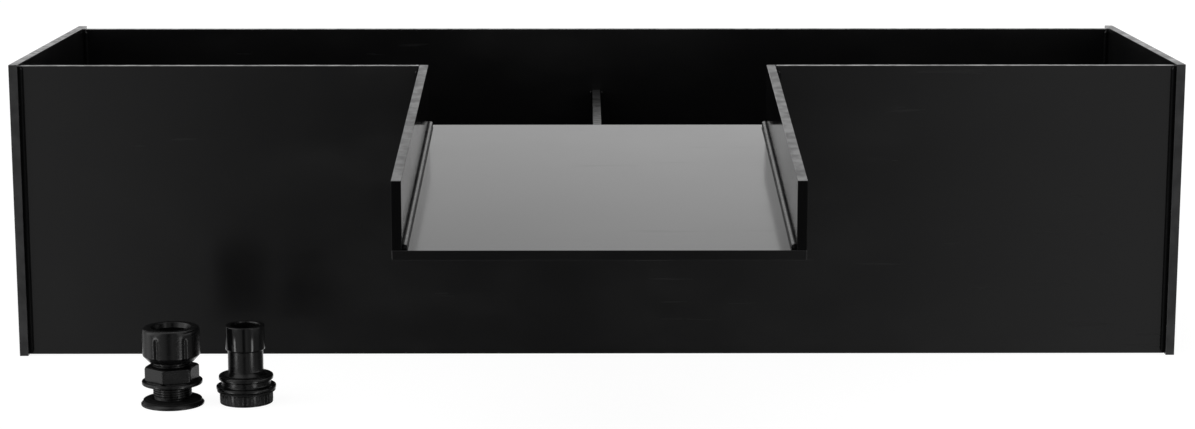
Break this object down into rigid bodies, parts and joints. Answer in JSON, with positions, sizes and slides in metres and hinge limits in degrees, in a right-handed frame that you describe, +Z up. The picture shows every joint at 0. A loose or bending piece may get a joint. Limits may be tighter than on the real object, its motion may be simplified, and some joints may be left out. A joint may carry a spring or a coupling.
{
  "type": "sluice box",
  "caption": "Open welded plastic header tank with a cut-out front wall and a sloping open chute, with two loose threaded pipe fittings.",
  "frame": {"origin": "centre of the tank's underside, on the ground", "axes": "+X along the tank's length to the right, +Z up, and the chute points to -Y"},
  "size_m": [1.2, 0.764, 0.304],
  "materials": {
    "sheet": "black plastic sheet, smooth with a soft gloss, saw-cut edges",
    "weld_bead": "black extrusion-welded bead, glossy and rippled",
    "fitting": "black moulded plastic, satin to glossy",
    "rubber": "black rubber, matt"
  },
  "bodies": {
    "tank": {"left_end_panel": "sheet", "right_end_panel": "sheet", "front_wall": "sheet", "back_wall": "sheet", "floor_panel": "sheet", "chute_floor": "sheet", "left_cheek": "sheet", "right_cheek": "sheet", "cross_brace": "sheet", "left_step_welds": "weld_bead", "right_step_welds": "weld_bead", "left_inner_welds": "weld_bead", "right_inner_welds": "weld_bead", "floor_welds": "weld_bead", "left_chute_weld": "weld_bead", "right_chute_weld": "weld_bead", "chute_wall_welds": "weld_bead", "brace_welds": "weld_bead"},
    "connector": {"connector_body": "fitting", "connector_gasket": "rubber", "seal_ring": "rubber"},
    "washer_body": {"slip_washer": "fitting"},
    "back_nut_body": {"back_nut": "fitting"},
    "grip_body": {"grip_ring": "fitting"},
    "cap_body": {"cap_nut": "fitting"},
    "spigot_base": {"spigot_nut": "fitting"},
    "spigot_seal": {"spigot_gasket": "rubber"},
    "spigot_tube": {"spigot_body": "fitting"}
  },
  "joints": [
    {"name": "connector_lift", "type": "slide", "parent": "tank", "child": "connector", "axis": [0, 0, 1], "range_m": [0, 0.32]},
    {"name": "back_nut_travel", "type": "slide", "parent": "connector", "child": "washer_body", "axis": [0, 0, 1], "range_m": [-0.0127, 0.0047]},
    {"name": "back_nut_turn", "type": "hinge", "parent": "washer_body", "child": "back_nut_body", "pos_m": [-0.41, -0.385, 0.03], "axis": [0, 0, 1], "range_deg": [-1980, 720]},
    {"name": "cap_nut_travel", "type": "slide", "parent": "connector", "child": "grip_body", "axis": [0, 0, 1], "range_m": [0, 0.0116]},
    {"name": "cap_nut_turn", "type": "hinge", "parent": "grip_body", "child": "cap_body", "pos_m": [-0.41, -0.385, 0.06], "axis": [0, 0, 1], "range_deg": [0, 1800]},
    {"name": "spigot_lift", "type": "slide", "parent": "tank", "child": "spigot_base", "axis": [0, 0, 1], "range_m": [0, 0.32]},
    {"name": "spigot_travel", "type": "slide", "parent": "spigot_base", "child": "spigot_seal", "axis": [0, 0, 1], "range_m": [0, 0.0093]},
    {"name": "spigot_turn", "type": "hinge", "parent": "spigot_seal", "child": "spigot_tube", "pos_m": [-0.34, -0.377, 0.04], "axis": [0, 0, 1], "range_deg": [0, 1440]}
  ],
  "couplings": [
    {"joint": "back_nut_travel", "follows": "back_nut_turn", "m_per_rad": 0.00036606},
    {"joint": "cap_nut_travel", "follows": "cap_nut_turn", "m_per_rad": 0.00036606},
    {"joint": "spigot_travel", "follows": "spigot_turn", "m_per_rad": 0.00036606}
  ]
}
